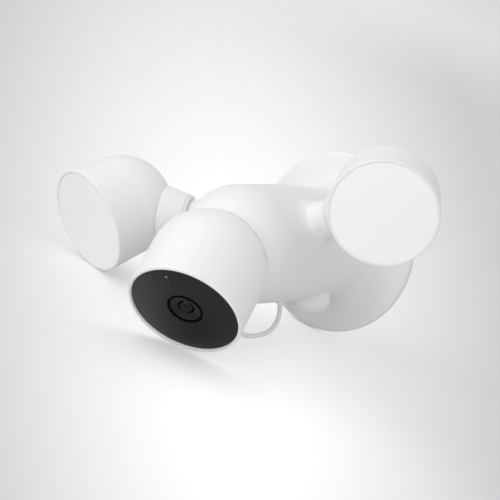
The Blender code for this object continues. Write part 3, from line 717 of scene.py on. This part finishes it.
KEPT = {
    "board": ("green_board", "power_board pir_board main_board led_ring_board"),
    "black": ("black_plastic", "terminal_block capacitor led_driver left_swivel_nut right_swivel_nut "
                               "image_sensor speaker camera_port"),
    "tape": ("transformer_tape", "transformer"),
    "film": ("battery_wrap", "battery_pack"),
    "steel": ("zinc_steel", "pir_sensor seat_magnet left_clamp_stem right_clamp_stem dome_plate"),
    "aluminium": ("aluminium", "left_heat_sink right_heat_sink wireless_module microphone"),
    "board_white": ("white_board", "left_led_board right_led_board"),
    "phosphor": ("phosphor", "left_led_array right_led_array"),
    "white": ("white_moulding", "left_reflector right_reflector"),
    "pad": ("grey_rubber", "seat_pad"),
    "lens": ("lens_glass", "infrared_led_1 infrared_led_2"),
}


def dress_kept():
    for finish, (slot, names) in KEPT.items():
        for name in names.split():
            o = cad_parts[name]
            o.data.materials.clear()
            o.data.materials.append(FINISH[finish])
    for name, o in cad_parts.items():
        if not o.data.materials or o.data.materials[0] not in FINISH.values():
            o.data.materials.clear()
            o.data.materials.append(FINISH["white"])


# ---------------------------------------------------------------- floor, light and air

FLOOR_UP = Vector((0.4352, -0.0316, 0.8998)).normalized()
FLOOR_GLOW = 0.30
FLOOR_SHADE = "F2F2F2"
FLOOR_AT = -0.0659  # distance of the floor from the frame's origin, along FLOOR_UP


def build_floor():
    """A pale table under the object, seen from above only, that fades out at its edge."""
    bm = bmesh.new()
    bmesh.ops.create_circle(bm, cap_ends=True, radius=1.5, segments=96)
    mesh = bpy.data.meshes.new("floor")
    bm.to_mesh(mesh)
    bm.free()
    o = bpy.data.objects.new("floor", mesh)
    bpy.context.scene.collection.objects.link(o)
    middle = Vector((0.0, -0.09, 0.0))
    middle += FLOOR_UP * (FLOOR_AT - middle.dot(FLOOR_UP))
    o.matrix_world = frame_at(middle / MM, FLOOR_UP, RIGHT)
    # Matt white paper with a painted pool of light that pales evenly towards the middle.
    m, tree, b = new_material("paper_white_matt", Roughness=0.9, IOR=1.3)
    place = node(tree, "ShaderNodeTexCoord")
    part = node(tree, "ShaderNodeSeparateXYZ", [(0, place.outputs["Object"])])
    reach = node(tree, "ShaderNodeMath", [(0, part.outputs["Y"])], operation="MULTIPLY_ADD")
    reach.inputs[1].default_value, reach.inputs[2].default_value = 0.963, 2.4
    across = node(tree, "ShaderNodeMath", [(0, part.outputs["X"]), (1, reach.outputs[0])], operation="DIVIDE")
    deep = node(tree, "ShaderNodeMath", [(0, part.outputs["Y"]), (1, reach.outputs[0])], operation="DIVIDE")
    deep = node(tree, "ShaderNodeMath", [(0, deep.outputs[0])], operation="MULTIPLY")
    deep.inputs[1].default_value = 0.27 * 0.65
    pair = node(tree, "ShaderNodeCombineXYZ", [(0, across.outputs[0]), (1, deep.outputs[0])])
    far = node(tree, "ShaderNodeVectorMath", [(0, pair.outputs[0])], operation="LENGTH")
    ramp = node(tree, "ShaderNodeValToRGB", [("Fac", far.outputs["Value"])])
    first, last = ramp.color_ramp.elements
    first.position, first.color = 0.018, linear("FFFFFF")
    last.position, last.color = 0.086, linear("CCCCCC")
    paper = node(tree, "ShaderNodeMix", [(6, ramp.outputs["Color"])], data_type="RGBA", blend_type="MULTIPLY")
    paper.inputs[0].default_value = 1.0
    paper.inputs[7].default_value = linear(FLOOR_SHADE)
    tree.links.new(paper.outputs[2], b.inputs["Base Color"])
    tree.links.new(ramp.outputs["Color"], b.inputs["Emission Color"])
    # Painted glow, seen only by the camera, that lifts the paper towards white.
    path = node(tree, "ShaderNodeLightPath")
    glow = node(tree, "ShaderNodeMath", [(0, path.outputs["Is Camera Ray"])], operation="MULTIPLY")
    glow.inputs[1].default_value = FLOOR_GLOW
    tree.links.new(glow.outputs[0], b.inputs["Emission Strength"])
    edge = node(tree, "ShaderNodeVectorMath", [(0, place.outputs["Object"])], operation="LENGTH")
    fade = node(tree, "ShaderNodeMapRange", [("Value", edge.outputs["Value"])],
                interpolation_type="SMOOTHSTEP")
    fade.inputs["From Min"].default_value = 1.0
    fade.inputs["From Max"].default_value = 1.45
    side = node(tree, "ShaderNodeNewGeometry")
    clear = node(tree, "ShaderNodeMath", [(0, fade.outputs["Result"]), (1, side.outputs["Backfacing"])],
                 operation="MAXIMUM")
    through = node(tree, "ShaderNodeBsdfTransparent")
    mix = node(tree, "ShaderNodeMixShader",
               [(0, clear.outputs[0]), (1, b.outputs[0]), (2, through.outputs[0])])
    out = tree.nodes["Material Output"]
    tree.links.new(mix.outputs[0], out.inputs["Surface"])
    mesh.materials.append(m)


def area_light(name, power, size, offset, target=(0.0, -0.1, 0.0)):
    """A soft light placed by how far right, up and toward the viewer it stands."""
    data = bpy.data.lights.new(name, "AREA")
    data.energy = power
    data.shape = "RECTANGLE"
    data.size = size
    data.size_y = size
    o = bpy.data.objects.new(name, data)
    bpy.context.scene.collection.objects.link(o)
    at = Vector(target)
    o.location = at + RIGHT * offset[0] + UP * offset[1] - LOOK * offset[2]
    o.rotation_mode = "QUATERNION"
    o.rotation_quaternion = (at - o.location).to_track_quat("-Z", "Y")


def build_world():
    world = bpy.data.worlds.new("studio")
    bpy.context.scene.world = world
    world.use_nodes = True
    tree = world.node_tree
    tree.nodes.clear()
    place = node(tree, "ShaderNodeTexCoord")
    aim = node(tree, "ShaderNodeVectorMath", [(0, place.outputs["Generated"])], operation="DISTANCE")
    aim.inputs[1].default_value = LOOK
    # The backdrop is painted palest in the middle of the view, with painted shade darkening it outwards.
    ramp = node(tree, "ShaderNodeValToRGB", [("Fac", aim.outputs["Value"])])
    ramp.color_ramp.interpolation = "EASE"
    first, last = ramp.color_ramp.elements
    first.position, first.color = 0.035, linear("FFFFFF")
    last.position, last.color = 0.118, linear("D8D8D8")
    seen = node(tree, "ShaderNodeBackground", [("Color", ramp.outputs["Color"])], Strength=1.0)
    soft = node(tree, "ShaderNodeBackground", Strength=0.65)
    soft.inputs["Color"].default_value = linear("FFFFFF")
    path = node(tree, "ShaderNodeLightPath")
    mix = node(tree, "ShaderNodeMixShader", [(0, path.outputs["Is Camera Ray"])])
    tree.links.new(soft.outputs[0], mix.inputs[1])
    tree.links.new(seen.outputs[0], mix.inputs[2])
    node(tree, "ShaderNodeOutputWorld", [("Surface", mix.outputs[0])])


RIGHT, UP, LOOK = make_camera()
FINISH = materials()
build_housing()
build_back()
build_pir()
for SIDE, LABEL in ((-1, "left"), (1, "right")):
    build_light(SIDE, LABEL)
build_camera()
build_lead()
dress_kept()
build_floor()
build_world()
area_light("key", 37.0, 3.4, (-1.8, 3.2, 0.3))
area_light("fill", 2.0, 1.6, (1.3, 0.0, 1.3))
area_light("front", 8.5, 2.2, (-0.8, 0.2, 1.5))
area_light("glint", 2.5, 0.18, (-0.99, 0.02, 1.62), LENS_AT)
bpy.context.scene.view_settings.view_transform = "Standard"
